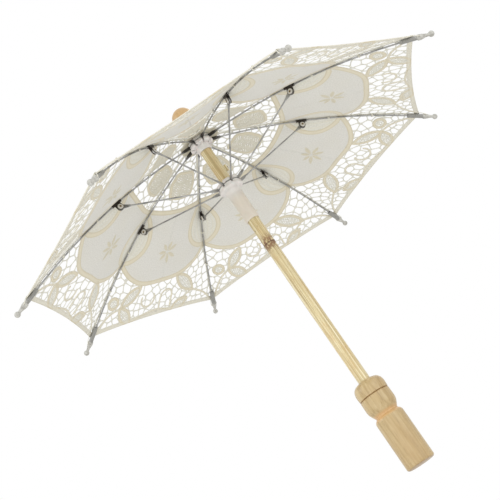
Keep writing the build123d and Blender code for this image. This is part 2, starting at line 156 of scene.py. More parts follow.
class Nodes:
    """Short calls for the few shader nodes that the materials are built from."""

    def __init__(self, tree):
        self.tree = tree

    def _new(self, kind, **settings):
        node = self.tree.nodes.new(kind)
        for key, value in settings.items():
            setattr(node, key, value)
        return node

    def _put(self, value, socket):
        if isinstance(value, bpy.types.NodeSocket):
            self.tree.links.new(value, socket)
        else:
            socket.default_value = value

    def place(self, stretch=(1, 1, 1)):
        """Object coordinates in metres, scaled by stretch."""
        node = self._new("ShaderNodeMapping")
        self._put(self._new("ShaderNodeTexCoord").outputs["Object"], node.inputs["Vector"])
        node.inputs["Scale"].default_value = stretch
        return node.outputs["Vector"]

    def axis(self, which):
        """One of the object coordinates: X, Y or Z."""
        node = self._new("ShaderNodeSeparateXYZ")
        self._put(self._new("ShaderNodeTexCoord").outputs["Object"], node.inputs[0])
        return node.outputs[which]

    def attribute(self, name, output="Fac"):
        return self._new("ShaderNodeAttribute", attribute_name=name).outputs[output]

    def length(self, coords):
        node = self._new("ShaderNodeVectorMath", operation="LENGTH")
        self._put(coords, node.inputs[0])
        return node.outputs["Value"]

    def channels(self, colour):
        node = self._new("ShaderNodeSeparateColor")
        self._put(colour, node.inputs[0])
        return node.outputs["Red"], node.outputs["Green"], node.outputs["Blue"]

    def noise(self, coords, scale, detail=3.0, rough=0.5):
        node = self._new("ShaderNodeTexNoise")
        self._put(coords, node.inputs["Vector"])
        node.inputs["Scale"].default_value = scale
        node.inputs["Detail"].default_value = detail
        node.inputs["Roughness"].default_value = rough
        return node.outputs["Fac"]

    def bands(self, coords, scale, direction="X", wobble=0.0):
        node = self._new("ShaderNodeTexWave", wave_type="BANDS", bands_direction=direction)
        self._put(coords, node.inputs["Vector"])
        node.inputs["Scale"].default_value = scale
        node.inputs["Distortion"].default_value = wobble
        return node.outputs["Fac"]

    def math(self, operation, a, b=0.0):
        node = self._new("ShaderNodeMath", operation=operation)
        self._put(a, node.inputs[0])
        self._put(b, node.inputs[1])
        return node.outputs[0]

    def span(self, value, low, high, to_low=0.0, to_high=1.0):
        """value taken from low..high to to_low..to_high, held at the ends."""
        node = self._new("ShaderNodeMapRange", interpolation_type="SMOOTHSTEP")
        self._put(value, node.inputs["Value"])
        node.inputs["From Min"].default_value = low
        node.inputs["From Max"].default_value = high
        node.inputs["To Min"].default_value = to_low
        node.inputs["To Max"].default_value = to_high
        return node.outputs["Result"]

    def mix(self, factor, a, b):
        node = self._new("ShaderNodeMix", data_type="RGBA")
        self._put(factor, node.inputs["Factor"])
        self._put(a, node.inputs["A"])
        self._put(b, node.inputs["B"])
        return node.outputs["Result"]

    def ramp(self, value, *stops):
        """A colour ramp through (position, colour) stops."""
        node = self._new("ShaderNodeValToRGB")
        self._put(value, node.inputs["Fac"])
        elements = node.color_ramp.elements
        while len(elements) < len(stops):
            elements.new(0.5)
        for element, (position, colour) in zip(elements, stops):
            element.position = position
            element.color = colour
        return node.outputs["Color"]

    def bump(self, height, depth, strength=1.0, under=None):
        """A normal from height, whose whole range is depth metres."""
        node = self._new("ShaderNodeBump")
        self._put(height, node.inputs["Height"])
        node.inputs["Strength"].default_value = strength
        node.inputs["Distance"].default_value = depth
        if under is not None:
            self._put(under, node.inputs["Normal"])
        return node.outputs["Normal"]


# Where colours change, in metres.
NECK_HEIGHT = 0.0415                   # middle of the handle's neck, which is orange
GROOVE_HEIGHT = 0.0575                 # the handle's groove, darkened there by a painted shadow
KNOB_FROM, KNOB_FULL = 0.28, 0.30      # heights where the knob's orange starts and is full
CANE_JOINT = 0.196                     # height of the cane's own joint
SLEEVE_WARM, SLEEVE_PLAIN = 0.236, 0.250    # heights where the sleeve's tint fades, and is gone
SOCKET_SHADOW_FADES, SOCKET_SHADOW_GONE = 0.1795, 0.1810  # radii where the painted shadow on a tip's sleeve fades, and is gone
EAR_RADIUS = 0.00205                   # round the rivet, where a clip is bright; beyond it, painted shade darkens the clip
RIVET_RADIUS = 0.0007                  # of the brown rivet itself
RIBS_DARKER_WITHIN = 0.020                          # round the stick, where the ribs are darker


def wood_material():
    """Turned pale wood: long grain, pores, tool rings, satin lacquer, orange in the neck and on the knob,
    and a painted shadow along the groove.
    """
    mat, shader, tree = new_material("turned_wood")
    n = Nodes(tree)
    along = n.place((1, 1, 0.07))
    grain = n.noise(along, 520, 5, 0.62)
    cloud = n.noise(n.place((1, 1, 0.3)), 60, 3)
    base = n.ramp(grain, (0.30, srgb(158, 134, 90)), (0.52, srgb(184, 162, 118)),
                  (0.75, srgb(200, 181, 140)))
    height = n.axis("Z")
    from_neck = n.math("ABSOLUTE", n.math("SUBTRACT", height, NECK_HEIGHT))
    orange = n.math("MAXIMUM", n.span(from_neck, 0.0010, 0.0034, 0.8, 0.0),
                    n.span(height, KNOB_FROM, KNOB_FULL, 0.0, 0.6))
    warm = n.mix(orange, base, srgb(204, 162, 108))
    tone = n.mix(n.span(cloud, 0.35, 0.7, 0.0, 0.5), warm, srgb(168, 138, 92))
    # Painted shadow: a dark line along the groove, where shade falls.
    from_groove = n.math("ABSOLUTE", n.math("SUBTRACT", height, GROOVE_HEIGHT))
    groove_shadow_painted = n.mix(n.span(from_groove, 0.0002, 0.0009, 0.55, 0.0), tone, srgb(144, 106, 66))
    cut_end = n.mix(n.span(height, 0.0001, 0.0006, 0.45, 0.0), groove_shadow_painted, srgb(140, 104, 66))
    pores = n.span(n.noise(n.place((1, 1, 0.05)), 1500, 2), 0.62, 0.72)
    colour = n.mix(n.math("MULTIPLY", pores, 0.4), cut_end, srgb(126, 96, 62))
    tree.links.new(colour, shader.inputs["Base Color"])
    tree.links.new(n.span(cloud, 0.3, 0.7, 0.34, 0.50), shader.inputs["Roughness"])
    rings = n.bands(n.place(), 700, "Z", 1.5)
    fine = n.bump(rings, 0.00002, 0.35)
    tree.links.new(n.bump(grain, 0.00006, 0.5, fine), shader.inputs["Normal"])
    shader.inputs["Coat Weight"].default_value = 0.2
    shader.inputs["Coat Roughness"].default_value = 0.25
    return mat


def bamboo_material():
    """Scraped cane: straw fibres, brown mottling at the joint of the cane and small specks."""
    mat, shader, tree = new_material("cane")
    n = Nodes(tree)
    fibre = n.noise(n.place((1, 1, 0.012)), 1300, 5, 0.68)
    patch = n.noise(n.place((1, 1, 0.35)), 170, 4, 0.65)
    base = n.ramp(fibre, (0.34, srgb(154, 134, 90)), (0.5, srgb(202, 186, 140)),
                  (0.62, srgb(230, 220, 186)))
    tone = n.mix(n.span(patch, 0.42, 0.75, 0.0, 0.5), base, srgb(190, 154, 96))
    away = n.math("ABSOLUTE", n.math("SUBTRACT", n.axis("Z"), CANE_JOINT))
    near = n.span(away, 0.0015, 0.0100, 1.0, 0.0)
    burnt = n.math("MULTIPLY", near, n.span(n.noise(n.place((1, 1, 0.6)), 620, 4), 0.38, 0.55))
    brown = n.mix(n.math("MULTIPLY", burnt, 0.85), tone, srgb(112, 66, 30))
    scar = n.span(away, 0.0002, 0.0009, 0.8, 0.0)
    ringed = n.mix(scar, brown, srgb(84, 50, 26))
    specks = n.span(n.noise(n.place((1, 1, 0.5)), 900, 2), 0.68, 0.74)
    colour = n.mix(n.math("MULTIPLY", specks, 0.6), ringed, srgb(96, 60, 32))
    tree.links.new(colour, shader.inputs["Base Color"])
    tree.links.new(n.span(patch, 0.3, 0.7, 0.34, 0.5), shader.inputs["Roughness"])
    tree.links.new(n.bump(fibre, 0.00008, 0.6), shader.inputs["Normal"])
    shader.inputs["Coat Weight"].default_value = 0.15
    shader.inputs["Coat Roughness"].default_value = 0.3
    return mat


def plastic_material():
    """Milky moulded plastic, a little cloudy, warmer along the sleeve where the cane shows through."""
    mat, shader, tree = new_material("milky_plastic")
    n = Nodes(tree)
    cloud = n.noise(n.place((1, 1, 0.5)), 260, 4, 0.6)
    milk = n.ramp(cloud, (0.3, srgb(206, 202, 197)), (0.55, srgb(217, 213, 209)),
                  (0.8, srgb(226, 223, 219)))
    sleeve = n.span(n.axis("Z"), SLEEVE_WARM, SLEEVE_PLAIN, 0.75, 0.0)
    colour = n.mix(sleeve, milk, srgb(220, 207, 190))
    tree.links.new(colour, shader.inputs["Base Color"])
    tree.links.new(n.span(cloud, 0.3, 0.7, 0.28, 0.45), shader.inputs["Roughness"])
    tree.links.new(n.bump(n.noise(n.place(), 1400, 3), 0.00004, 0.5), shader.inputs["Normal"])
    shader.inputs["Subsurface Weight"].default_value = 0.35
    shader.inputs["Subsurface Radius"].default_value = (0.004, 0.003, 0.003)
    shader.inputs["Subsurface Scale"].default_value = 1.0
    shader.inputs["Coat Weight"].default_value = 0.2
    return mat


def tip_material():
    """Grey white moulded tips, slightly dirty, with a painted shadow greying the sleeve that grips the rib.
    """
    mat, shader, tree = new_material("tip_plastic")
    n = Nodes(tree)
    dirt = n.noise(n.place(), 420, 5, 0.65)
    unshaded_tip = n.ramp(dirt, (0.3, srgb(140, 138, 130)), (0.5, srgb(178, 177, 170)),
                   (0.75, srgb(202, 202, 196)))
    from_axis = n.length(n.place((1, 1, 0)))
    # Painted shadow: the sleeve under the lace's edge is greyed.
    socket = n.span(from_axis, SOCKET_SHADOW_FADES, SOCKET_SHADOW_GONE, 0.85, 0.0)
    colour = n.mix(socket, unshaded_tip, srgb(132, 132, 128))
    tree.links.new(colour, shader.inputs["Base Color"])
    tree.links.new(n.span(dirt, 0.3, 0.7, 0.35, 0.55), shader.inputs["Roughness"])
    tree.links.new(n.bump(dirt, 0.00005, 0.5), shader.inputs["Normal"])
    return mat


def metal_material(name, dark, light, rough, streak=(1, 1, 1), rust=0.0, darker_within=0.0):
    """Steel: streaks, uneven dullness, rust, and a darker colour round the stick, out to the radius that the
    last argument gives.
    """
    mat, shader, tree = new_material(name)
    n = Nodes(tree)
    drawn = n.noise(n.place(streak), 1100, 4, 0.6)
    patch = n.noise(n.place(), 240, 4, 0.6)
    steel = n.ramp(drawn, (0.3, dark), (0.7, light))
    rusty = n.mix(n.span(patch, 0.55, 0.75, 0.0, rust), steel, srgb(92, 62, 42))
    # Darker round the stick, where the ribs meet the notch.
    darker_near_stick = n.span(n.length(n.place((1, 1, 0))), darker_within * 0.75, darker_within + 0.001, 0.8, 0.0)
    colour = n.mix(darker_near_stick, rusty, srgb(40, 36, 32))
    tree.links.new(colour, shader.inputs["Base Color"])
    tree.links.new(n.span(patch, 0.3, 0.7, rough, rough + 0.18), shader.inputs["Roughness"])
    tree.links.new(n.bump(drawn, 0.00003, 0.5), shader.inputs["Normal"])
    shader.inputs["Metallic"].default_value = 0.9
    return mat


def ear_material():
    """Pressed steel clip: bright ears round a brown rivet, with painted shade darkening their rim and the
    crimped tube.
    """
    mat, shader, tree = new_material("pressed_steel")
    n = Nodes(tree)
    patch = n.noise(n.place(), 900, 4, 0.6)
    out = n.math("SUBTRACT", n.length(n.place((1, 1, 0))), RIVET_AT[0] * MM)
    up = n.math("SUBTRACT", n.axis("Z"), RIVET_AT[1] * MM)
    squares = n.math("ADD", n.math("MULTIPLY", out, out), n.math("MULTIPLY", up, up))
    away = n.math("SQRT", squares)
    bright = n.ramp(patch, (0.3, srgb(196, 194, 188)), (0.7, srgb(228, 226, 220)))
    # Painted shade: the clip is darkened beyond the bright ears, for the shadow between its plates.
    rim = n.span(away, EAR_RADIUS, EAR_RADIUS + 0.0003)
    pressed = n.mix(rim, bright, srgb(58, 52, 47))
    rivet = n.span(away, RIVET_RADIUS, RIVET_RADIUS + 0.0003, 1.0, 0.0)
    colour = n.mix(rivet, pressed, srgb(120, 98, 62))
    tree.links.new(colour, shader.inputs["Base Color"])
    tree.links.new(n.span(patch, 0.3, 0.7, 0.30, 0.45), shader.inputs["Roughness"])
    tree.links.new(n.bump(patch, 0.00003, 0.5), shader.inputs["Normal"])
    shader.inputs["Metallic"].default_value = 0.6
    return mat


def lace_material():
    """Cream cotton: closely woven petals, tape with darker edges, spun threads and embroidery."""
    mat, shader, tree = new_material("cotton_lace")
    n = Nodes(tree)
    plan = n.attribute("plan", "Vector")
    ribbon_share, cloth, floss = n.channels(n.attribute("lace_part", "Color"))
    edge = n.attribute("tape_edge")
    fade = n.noise(plan, 0.035, 3)
    slub = n.noise(plan, 0.9, 4, 0.6)
    thread = n.ramp(slub, (0.3, srgb(204, 203, 192)), (0.6, srgb(224, 223, 213)))
    linen = n.ramp(slub, (0.3, srgb(206, 205, 198)), (0.65, srgb(221, 220, 214)))
    ribbon = n.mix(edge, srgb(219, 212, 191), srgb(201, 191, 163))
    ribbon = n.mix(n.span(slub, 0.35, 0.7, 0.0, 0.4), ribbon, srgb(207, 199, 174))
    silk = n.ramp(slub, (0.3, srgb(198, 191, 166)), (0.7, srgb(212, 206, 186)))
    colour = n.mix(cloth, thread, linen)
    colour = n.mix(floss, colour, silk)
    colour = n.mix(ribbon_share, colour, ribbon)
    colour = n.mix(n.span(fade, 0.35, 0.7, 0.0, 0.2), colour, srgb(212, 208, 191))
    tree.links.new(colour, shader.inputs["Base Color"])
    warp = n.bands(plan, 0.50, "X", 0.6)
    weft = n.bands(plan, 0.50, "Y", 0.6)
    weave = n.math("MULTIPLY", n.math("ADD", warp, weft), 0.5)
    spun = n.bump(slub, 0.00025, 0.7)
    tree.links.new(n.bump(weave, 0.00012, 0.7, spun), shader.inputs["Normal"])
    shader.inputs["Roughness"].default_value = 0.85
    shader.inputs["Sheen Weight"].default_value = 0.2
    shader.inputs["Sheen Roughness"].default_value = 0.5
    shader.inputs["Specular IOR Level"].default_value = 0.25
    return mat


def thread_material():
    """Sewing thread: two plies twisted round each other."""
    mat, shader, tree = new_material("sewing_thread")
    n = Nodes(tree)
    ply = n.bands(n.place(), 900, "DIAGONAL", 1.0)
    colour = n.mix(ply, srgb(196, 192, 176), srgb(226, 224, 212))
    tree.links.new(colour, shader.inputs["Base Color"])
    tree.links.new(n.bump(ply, 0.00008, 0.6), shader.inputs["Normal"])
    shader.inputs["Roughness"].default_value = 0.8
    shader.inputs["Sheen Weight"].default_value = 0.2
    return mat


# ---------------------------------------------------------------------------------------------
# Lace: what the lacemaker laid out, in plan, in millimetres
# ---------------------------------------------------------------------------------------------

TAPE = 2.1                             # half the width of the woven tape
BAND = 1.3                             # half the width of the tape that the pods are bent from
CORD = 0.85                            # half the width of a plain cord
THREAD = 0.34                          # half the width of a thread of the net
HEM = 3.4                              # width of the hem's tape
GRID = 0.5                             # spacing of the cells that the lace is cut on
LACE_THICK = 0.9                       # thickness of the lace where it is thickest
MIDDLE_PATCH = 17.0                    # radius of the closely worked middle
PETAL_OUT, PETAL_IN = 118.0, 71.0      # radii where a petal's outer and inner tapes meet the ribs
LENS_WIDE = 14.5                       # half the width of the leaf shape over each rib
STAR_RADIUS = 104.0                    # where the embroidered star sits on the middle line


def polar(radius, degrees):
    """A point of a gore from its radius and its angle off the middle line: (across, out)."""
    a = math.radians(degrees)
    return np.array((radius * math.sin(a), radius * math.cos(a)))


def smooth_line(points, closed=False, steps=8):
    """A Catmull-Rom curve through the points."""
    pts = np.array(points, float)
    n = len(pts)
    spans = n if closed else n - 1
    out = []
    for i in range(spans):
        if closed:
            p0, p1, p2, p3 = (pts[(i + j) % n] for j in (-1, 0, 1, 2))
        else:
            p0, p1, p2, p3 = (pts[min(max(i + j, 0), n - 1)] for j in (-1, 0, 1, 2))
        for t in np.linspace(0, 1, steps, endpoint=False):
            out.append(0.5 * (2 * p1 + (p2 - p0) * t + (2 * p0 - 5 * p1 + 4 * p2 - p3) * t**2
                              + (3 * p1 - p0 - 3 * p2 + p3) * t**3))
    out.append(pts[0] if closed else pts[-1])
    return np.array(out)


def rounded(corners, share=0.25):
    """A closed outline with straight sides and rounded corners."""
    pts = np.array(corners)
    before, after = np.roll(pts, 1, axis=0), np.roll(pts, -1, axis=0)
    cuts = np.stack([pts + (before - pts) * share, pts + (after - pts) * share], 1)
    out = []
    for corner, (start, stop) in zip(pts, cuts):
        for t in np.linspace(0, 1, 5):
            out.append(start * (1 - t) ** 2 + 2 * corner * t * (1 - t) + stop * t**2)
    return np.array(out + out[:1])


def leaf(base, tip, width):
    """The outline of a leaf from base to tip, pointed at both ends."""
    base, tip = np.array(base), np.array(tip)
    along = tip - base
    side = np.array((-along[1], along[0])) / np.hypot(*along)
    share = np.linspace(0, 1, 13)[:, None]
    bulge = width / 2 * np.sin(np.pi * share) ** 0.8
    spine = base + along * share
    return np.vstack([spine + side * bulge, (spine - side * bulge)[::-1]])


def arc(centre, radius, start, stop):
    """Points of an arc, in degrees."""
    a = np.radians(np.linspace(start, stop, 17))
    return np.array(centre) + radius * np.column_stack([np.cos(a), np.sin(a)])


def line_distance(p, line):
    """Distance of each point of p to a polyline."""
    best = np.full(len(p), 1e9)
    for a, b in zip(line[:-1], line[1:]):
        d = b - a
        size = d @ d
        if size < 1e-9:
            continue
        t = np.clip((p - a) @ d / size, 0, 1)
        off = p - a - t[:, None] * d
        best = np.minimum(best, (off**2).sum(1))
    return np.sqrt(best)


def inside(p, line):
    """True where a point of p is inside a closed outline."""
    found = np.zeros(len(p), bool)
    for a, b in zip(line, np.roll(line, -1, axis=0)):
        if a[1] == b[1]:
            continue
        between = (a[1] > p[:, 1]) != (b[1] > p[:, 1])
        x = (b[0] - a[0]) * (p[:, 1] - a[1]) / (b[1] - a[1]) + a[0]
        found ^= between & (p[:, 0] < x)
    return found


def hem_line():
    """The hem from corner to corner of a gore, curving in between them."""
    corner = polar(CLOTH_OUTER, STEP / 2)
    across = np.linspace(-corner[0], corner[0], 41)
    return np.column_stack([across, corner[1] - HEM_DIP * (1 - (across / corner[0]) ** 2)])


def lens_side(sign, width=LENS_WIDE):
    """The side of the leaf shape over a rib that lies in this gore: +1 for the rib at +x, -1 at -x."""
    out = np.array((math.sin(HALF) * sign, math.cos(HALF)))
    side = np.array((-out[1] * sign, math.sin(HALF)))
    share = np.linspace(0, 1, 15)
    radius = PETAL_OUT + (PETAL_IN + 2 - PETAL_OUT) * share
    off = width * np.sin(np.pi * share**0.9) ** 0.75
    return radius[:, None] * out + off[:, None] * side


def gore_layout(rng):
    """The tapes, cords, cloth fillings and embroidery of one gore, its long pod on the +x side.
    Each place is polar(radius, degrees off the middle line)."""
    def shake(amount):
        return rng.normal(0, amount, 2)

    outer = smooth_line([polar(PETAL_OUT, 22.5), polar(125.5, 17.0), polar(129.5, 9.0) + shake(0.5),
                         polar(129.5, 0) + shake(0.5), polar(131.0, -9.0) + shake(0.5),
                         polar(126.5, -16.0), polar(PETAL_OUT, -22.5)])
    inner = smooth_line([polar(PETAL_IN, -22.5), polar(66.8, -9) + shake(0.3),
                         polar(66.8, 9) + shake(0.3), polar(PETAL_IN, 22.5)])
    left, right = lens_side(-1), lens_side(1)
    petal = np.vstack([outer, left, inner[1:-1], right[::-1]])
    corners = [polar(32, -13), polar(32, 13), polar(43, 15.5) + shake(0.4),
               polar(54, 11.5) + shake(0.4), polar(55, -2) + shake(0.4),
               polar(54, -11.5), polar(43, -15.5) + shake(0.4)]
    piece = rounded(corners)
    long_pod = leaf(polar(131.5, 8) + shake(0.6), polar(154, 15) + shake(0.6), 10.0)
    low_pod = leaf(polar(134, -9) + shake(0.6), polar(153, -15) + shake(0.5), 9.0)
    high_pod = leaf(polar(153, -15.3), polar(166, -10) + shake(0.5), 9.5)
    hem_leaf = leaf(polar(159, 12.5) + shake(0.5), polar(163, 6.0) + shake(0.5), 8.5)
    button = arc(polar(150, -18.6), 4.6, 0, 360)
    loop_at = polar(148, 3.0) + shake(0.8)
    loop = np.vstack([[loop_at + (6.4, 11)], arc(loop_at, 6.4, 0, -180), [loop_at + (-6.4, 9)]])
    arch = arc(polar(146, -4.5) + shake(0.8), 7.0, -30, 200)
    twig = smooth_line([polar(154, 15), polar(165, 19.5), polar(176, 21.6)])
    spray = smooth_line([polar(154, 15), polar(158, 10), polar(159, 12.5)])
    branch = smooth_line([polar(153, -15), polar(160, -18.5), polar(176, -21.6)])
    hook = smooth_line([polar(163, 6), polar(158, 0.5), polar(160, -5), polar(166, -10)])
    rings = [lens_side(sign, LENS_WIDE * share) for sign in (-1, 1) for share in (0.68, 0.38)]
    return {
        "tapes": [outer, inner, left, right],
        "bands": [piece, long_pod, low_pod, high_pod, hem_leaf, button],
        "cords": [loop, arch, twig, branch, hook, spray],
        "rings": rings,
        "cloth": [petal],
        "dense": [left, right],
        "netted": [long_pod, low_pod, high_pod, hem_leaf, button],
        "woven": [piece],
        "star": star_lines(rng),
    }


def star_lines(rng):
    """The arms of the embroidered star: seven short leaf stitches round one point."""
    centre = polar(STAR_RADIUS, 0) + rng.normal(0, 0.6, 2)
    turn = rng.uniform(0, 50)
    arms = []
    for i in range(7):
        a = math.radians(turn + i * 360 / 7 + rng.normal(0, 4))
        way = np.array((math.cos(a), math.sin(a)))
        arms.append(leaf(centre + way * 1.2, centre + way * rng.uniform(8.5, 12.0), 3.0))
    return arms


def net_seeds(rng):
    """Points that each become one opening of the net, over the whole canopy: closest in the leaf
    shapes over the ribs."""
    tries = 16000
    radii = np.sqrt(rng.uniform(12**2, 190**2, tries))
    angles = rng.uniform(0, 2 * np.pi, tries)
    kept = np.zeros((0, 2))
    for radius, angle in zip(radii, angles):
        p = radius * np.array((math.cos(angle), math.sin(angle)))
        off_rib = abs((math.degrees(angle) + STEP / 2) % STEP - STEP / 2)
        if radius < 68:
            space = 4.6
        elif radius < PETAL_OUT and off_rib < 10:
            space = 3.0
        else:
            space = 5.0 if radius < 150 else 4.6
        if len(kept) == 0 or ((kept - p) ** 2).sum(1).min() > space**2:
            kept = np.vstack([kept, p])
    return kept


def net_distance(p, seeds, rounding=0.5):
    """Distance of each point to the threads between the openings, rounded where threads meet."""
    margin, batch = 12, 4000
    lo, hi = p.min(0) - margin, p.max(0) + margin
    near = seeds[((seeds > lo) & (seeds < hi)).all(1)]
    result = np.empty(len(p))
    for start in range(0, len(p), batch):
        q = p[start:start + batch]
        gap = ((q[:, None] - near[None]) ** 2).sum(2)
        order = np.argpartition(gap, 6, axis=1)[:, :7]
        close = np.take_along_axis(gap, order, 1)
        rank = np.argsort(close, axis=1)
        order = np.take_along_axis(order, rank, 1)
        close = np.take_along_axis(close, rank, 1)
        first = near[order[:, 0]]
        total = np.zeros(len(q))
        for j in range(1, 7):
            apart = np.hypot(*(near[order[:, j]] - first).T)
            total += np.exp(-(close[:, j] - close[:, 0]) / (2 * apart) / rounding)
        result[start:start + batch] = -rounding * np.log(total)
    return result


# ---------------------------------------------------------------------------------------------
# Lace: from the layout to a sheet with real holes
# ---------------------------------------------------------------------------------------------


def arc_height(radius, low_radius, high_radius, top, low, bow):
    """Height of the shallow arc from (low_radius, top) to (high_radius, low), bow above its chord."""
    run, drop = high_radius - low_radius, top - low
    chord = math.hypot(run, drop)
    big = (chord**2 / 4 + bow**2) / (2 * bow)
    ux, uz = run / chord, -drop / chord
    cx = (low_radius + high_radius) / 2 - (-uz) * (big - bow)
    cz = (top + low) / 2 - ux * (big - bow)
    return cz + np.sqrt(big**2 - (radius - cx) ** 2)


def canopy_height(across, out):
    """Height of the canopy over the plan of a gore, in millimetres."""
    c = math.cos(HALF)
    at_rib = arc_height(out / c, CLOTH_INNER, CLOTH_OUTER, CLOTH_TOP, CLOTH_LOW, RIB_BOW)
    at_middle = arc_height(out, CLOTH_INNER * c, CLOTH_OUTER * c, CLOTH_TOP, CLOTH_LOW, MIDDLE_BOW)
    share = np.clip(np.abs(across) / (np.maximum(out, 1.0) * math.tan(HALF)), 0, 1)
    return at_middle + (at_rib - at_middle) * share**2


def lace_field(p, layout, seeds, turned):
    """Depth of each plan point inside the lace, negative in a hole, and a row of what it is made of:
    ribbon, tape edge, cloth, floss and relative thickness."""
    radius = np.hypot(*p.T)
    field = np.maximum(THREAD - net_distance(p @ turned, seeds), -3)
    ribbon, edge, cloth, floss = (np.zeros(len(p)) for _ in range(4))
    relief = 0.35 + 0.40 * np.clip(field / 0.6, 0, 1)

    def lay(distance, half, shade, height):
        nonlocal field, ribbon, relief
        field = np.maximum(field, half - distance)
        on = np.clip((half - distance) / 0.3, 0, 1)
        ribbon = np.maximum(ribbon, shade * on)
        relief = np.maximum(relief, height * on)

    for outline in layout["cloth"]:
        cloth[inside(p, outline)] = 1
    for outline in layout["dense"]:
        cloth[inside(p, outline)] = 0.1
    for outline in layout["star"]:
        floss[inside(p, outline)] = 1
    floss[radius < MIDDLE_PATCH] = 1
    solid = (cloth > 0) | (floss > 0)
    field = np.where(solid, np.maximum(field, 1.5), field)
    relief = np.where(cloth > 0, 0.40, relief)
    relief = np.where(floss > 0, 0.85, relief)
    for line in layout["tapes"]:
        d = line_distance(p, line)
        lay(d, TAPE, 1.0, 0.75)
        edge = np.where(d < TAPE, np.maximum(edge, np.clip((d - 0.9) / 0.7, 0, 1)), edge)
    for line in layout["bands"]:
        d = line_distance(p, line)
        lay(d, BAND, 1.0, 0.85)
        edge = np.where(d < BAND, np.maximum(edge, np.clip((d - 0.4) / 0.4, 0, 0.7)), edge)
    for line in layout["cords"]:
        lay(line_distance(p, line), CORD, 0.85, 0.95)
    for line in layout["rings"]:
        lay(line_distance(p, line), CORD * 0.8, 0.3, 0.80)
    hem = line_distance(p, hem_line())
    lay(hem, HEM, 0.35, 0.80)
    edge = np.where(hem < HEM, np.clip(np.abs(hem - HEM / 2) - 0.3, 0, 1), edge)
    lay(p[:, 1] * math.sin(HALF) - np.abs(p[:, 0]) * math.cos(HALF), CORD, 0.4, 0.80)
    for outline in layout["netted"]:
        within = inside(p, outline)
        for slant in (1, -1):
            strand = np.abs(((p[within, 0] + slant * p[within, 1]) / 2.6) % 1.0 - 0.5)
            field[within] = np.maximum(field[within], 0.35 - 1.8 * (0.5 - strand))
    for outline in layout["woven"]:
        within = inside(p, outline)
        chevron = (p[within, 1] + 0.6 * np.abs(p[within, 0] % 7.0 - 3.5)) / 1.9
        field[within] = np.maximum(field[within], 0.75 - 2.2 * np.abs(chevron % 1.0 - 0.5))
        floss[within] = 0.45
    return field, np.column_stack([ribbon, edge, cloth, floss, relief])


def cut_holes(field, rows, columns):
    """Marching squares on the grid: (faces, corner pairs, share between them) of what is inside."""
    index = np.arange(rows * columns).reshape(rows, columns)
    square = index[:-1, :-1], index[:-1, 1:], index[1:, 1:], index[1:, :-1]
    corner = np.stack(square, -1).reshape(-1, 4)
    inner = field[corner] > 0
    case = inner @ np.array((1, 2, 4, 8))
    pairs, faces = [], []
    for which in range(1, 16):
        cells = corner[case == which]
        if not len(cells):
            continue
        ring = []
        for i in range(4):
            j = (i + 1) % 4
            here, there = which >> i & 1, which >> j & 1
            if here:
                ring.append(np.column_stack([cells[:, i], cells[:, i]]))
            if here != there:
                ring.append(np.sort(cells[:, [i, j]], axis=1))
        start = sum(len(r) for r in pairs)
        pairs.extend(ring)
        faces.append(start + np.arange(len(ring) * len(cells)).reshape(len(ring), len(cells)).T)
    keys = np.vstack(pairs)
    code = keys[:, 0].astype(np.int64) * (rows * columns) + keys[:, 1]
    found, first, back = np.unique(code, return_index=True, return_inverse=True)
    keys = keys[first]
    a, b = field[keys[:, 0]], field[keys[:, 1]]
    share = np.where(keys[:, 0] == keys[:, 1], 0, a / np.where(a == b, 1, a - b))
    back = back.reshape(-1)
    return [back[f] for f in faces], keys, np.clip(share, 0, 1)


def half_gore_mesh(name, number, side, layout, seeds):
    """(mesh of one half gore, its relative thickness). side is -1 towards rib number, +1 towards
    the next rib. Gores on the +X side have the layout as drawn, the others mirrored."""
    middle = math.radians((number - 0.5) * STEP)
    mirrored = 1 if math.cos(middle) > 0 else -1
    length = CLOTH_OUTER * math.cos(HALF)
    width = CLOTH_OUTER * math.sin(HALF)
    columns = int(width / GRID) + 2
    rows = int(length / GRID) + 2
    xs, ys = np.meshgrid(np.arange(columns) * GRID, CLOTH_INNER * 0.9 + np.arange(rows) * GRID)
    p = np.column_stack([xs.ravel() * side, ys.ravel()])
    out = np.array((math.cos(middle), math.sin(middle)))
    across = np.array((-math.sin(middle), math.cos(middle)))
    turned = np.vstack([across, out])
    pattern = p * (mirrored, 1)
    to_rib = p[:, 1] * math.sin(HALF) - np.abs(p[:, 0]) * math.cos(HALF)
    hem_out = length - HEM_DIP * (1 - (p[:, 0] / width) ** 2)
    clip = np.minimum.reduce([to_rib, hem_out - p[:, 1], np.hypot(*p.T) - CLOTH_INNER])
    field = np.full(len(p), -9.0)
    made_of = np.zeros((len(p), 5))
    live = clip > -2 * GRID
    depth, rows_live = lace_field(pattern[live], layout, seeds, np.diag((mirrored, 1)) @ turned)
    field[live] = np.minimum(depth, clip[live])
    made_of[live] = rows_live
    faces, keys, share = cut_holes(field, rows, columns)

    def at(values):
        weight = share if values.ndim == 1 else share[:, None]
        return values[keys[:, 0]] * (1 - weight) + values[keys[:, 1]] * weight

    x, y = at(p[:, 0]), at(p[:, 1])
    ribbon, edge, cloth, floss, thick = at(made_of).T
    place = np.column_stack([x, y]) @ turned
    verts = np.column_stack([place, canopy_height(x, y)]) * MM
    mesh = bpy.data.meshes.new(name)
    polygons = [f[:, ::-1] if side > 0 else f for f in faces]
    mesh.from_pydata(verts.tolist(), [], [row for f in polygons for row in f.tolist()])
    mesh.validate()
    add_attribute(mesh, "plan", "FLOAT_VECTOR", "vector", np.column_stack([x, y, 0 * x]))
    colour = np.column_stack([ribbon, cloth, floss, np.ones(len(x))])
    add_attribute(mesh, "lace_part", "FLOAT_COLOR", "color", colour)
    add_attribute(mesh, "tape_edge", "FLOAT", "value", edge)
    return mesh, thick


